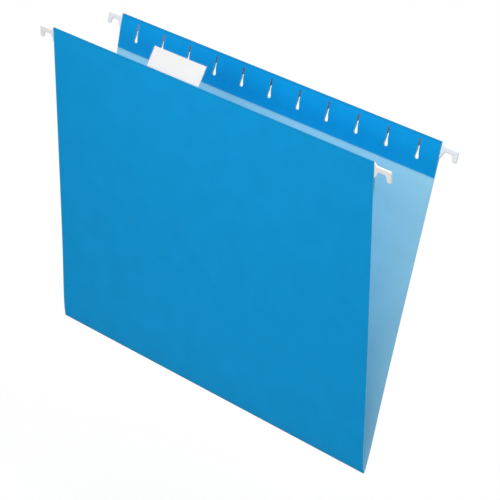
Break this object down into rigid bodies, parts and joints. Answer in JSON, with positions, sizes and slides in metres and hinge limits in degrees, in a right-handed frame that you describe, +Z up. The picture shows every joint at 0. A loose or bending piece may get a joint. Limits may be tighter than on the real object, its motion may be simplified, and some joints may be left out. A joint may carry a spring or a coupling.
{
  "type": "hanging file folder",
  "caption": "Letter-size card folder that hangs by coated hooks on steel rods in its rolled top edges, with teardrop tab slots and a clear index tab.",
  "frame": {"origin": "under the middle of the bottom fold, at the folder's lowest line", "axes": "+X along the fold, to the right as seen from the front; +Y from the front leaf, which carries the tab, to the back leaf; +Z up"},
  "size_m": [0.3268, 0.069, 0.2461],
  "materials": {
    "card": "matt dyed card, darker blue outside and pale blue inside",
    "steel": "rolled bright steel strip",
    "hook_coating": "white dip-coated plastic",
    "adhesive": "dried glue",
    "clear_plastic": "clear glossy sheet",
    "label_paper": "plain white paper"
  },
  "bodies": {
    "front": {"front_panel": "card", "front_rod": "steel", "front_left_hook_coating": "hook_coating", "front_right_hook_coating": "hook_coating", "front_hem_adhesive": "adhesive"},
    "back": {"back_panel": "card", "back_rod": "steel", "back_left_hook_coating": "hook_coating", "back_right_hook_coating": "hook_coating", "back_hem_adhesive": "adhesive"},
    "tab": {"index_tab": "clear_plastic"},
    "label": {"label_insert": "label_paper"}
  },
  "joints": [
    {"name": "fold", "type": "hinge", "parent": "front", "child": "back", "pos_m": [0, 0, 0.00028], "axis": [-1, 0, 0], "range_deg": [-15.5, 163.2]},
    {"name": "tab_pull", "type": "slide", "parent": "front", "child": "tab", "axis": [0, -0.0264, 0.9997], "range_m": [0, 0.026]},
    {"name": "label_slide", "type": "slide", "parent": "tab", "child": "label", "axis": [-1, 0, 0], "range_m": [-0.052, 0.052]}
  ]
}
